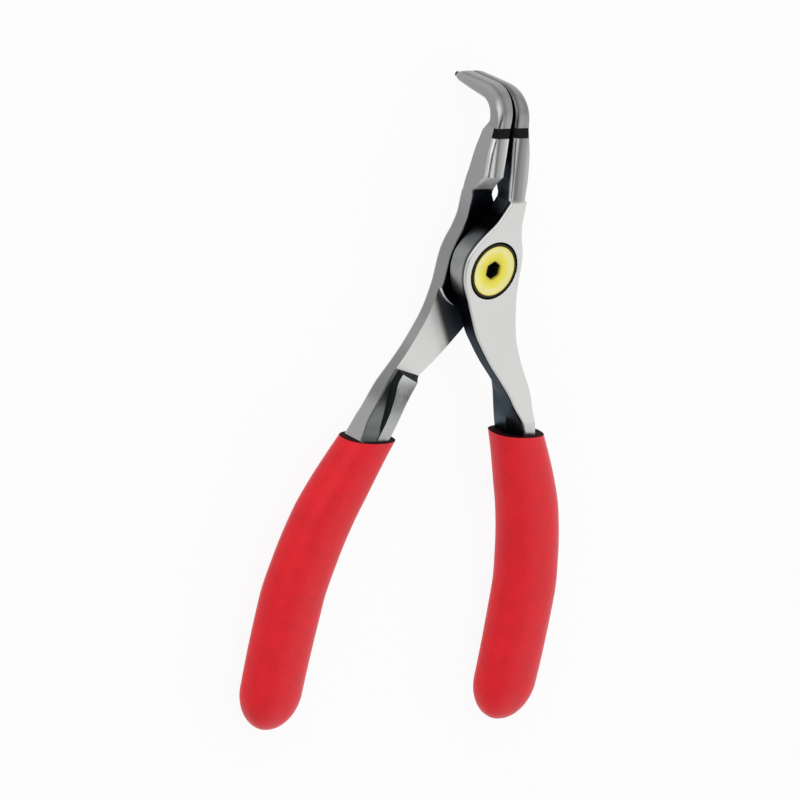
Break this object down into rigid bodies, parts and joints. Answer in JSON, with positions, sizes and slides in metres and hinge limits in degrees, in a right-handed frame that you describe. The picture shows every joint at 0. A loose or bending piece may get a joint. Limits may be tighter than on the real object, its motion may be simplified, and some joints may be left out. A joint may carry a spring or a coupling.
{
  "type": "circlip pliers",
  "caption": "External circlip pliers with jaws bent at a right angle, pressed-in tip pins, a bolted pivot under a coloured disc and dipped grips.",
  "frame": {"origin": "on the pivot axis, at the flat end of the pivot screw, flush with the rear limb's back face", "axes": "+Z along the pivot axis towards the coloured disc, +Y from the pivot towards the nose, +X across the tool on the front limb's side; the bent tips point along -Z"},
  "size_m": [0.0968, 0.1682, 0.0251],
  "materials": {
    "forged_steel": "satin ground faces, darker forged sides",
    "grip_plastic": "soft dipped plastic with a low sheen",
    "tip_steel": "dark hardened wire",
    "screw_steel": "blackened",
    "disc_plastic": "moulded, slightly glossy",
    "bright_steel": "turned",
    "bush_bronze": "turned",
    "spring_steel": "drawn wire"
  },
  "bodies": {
    "front_half": {"front_limb": "forged_steel", "front_grip": "grip_plastic", "front_tip_pin": "tip_steel", "return_spring": "spring_steel"},
    "rear_half": {"rear_limb": "forged_steel", "rear_grip": "grip_plastic", "rear_tip_pin": "tip_steel", "pivot_screw": "screw_steel", "colour_disc": "disc_plastic", "thrust_washer": "bright_steel", "pivot_bush": "bush_bronze", "pivot_nut": "bright_steel"}
  },
  "joints": [
    {"name": "squeeze", "type": "hinge", "parent": "front_half", "child": "rear_half", "pos_m": [0, 0, 0], "axis": [0, 0, 1], "range_deg": [0, 26], "stiffness_Nm_per_rad": 1.2, "springref_deg": -22.92, "deforming": ["return_spring"]}
  ]
}
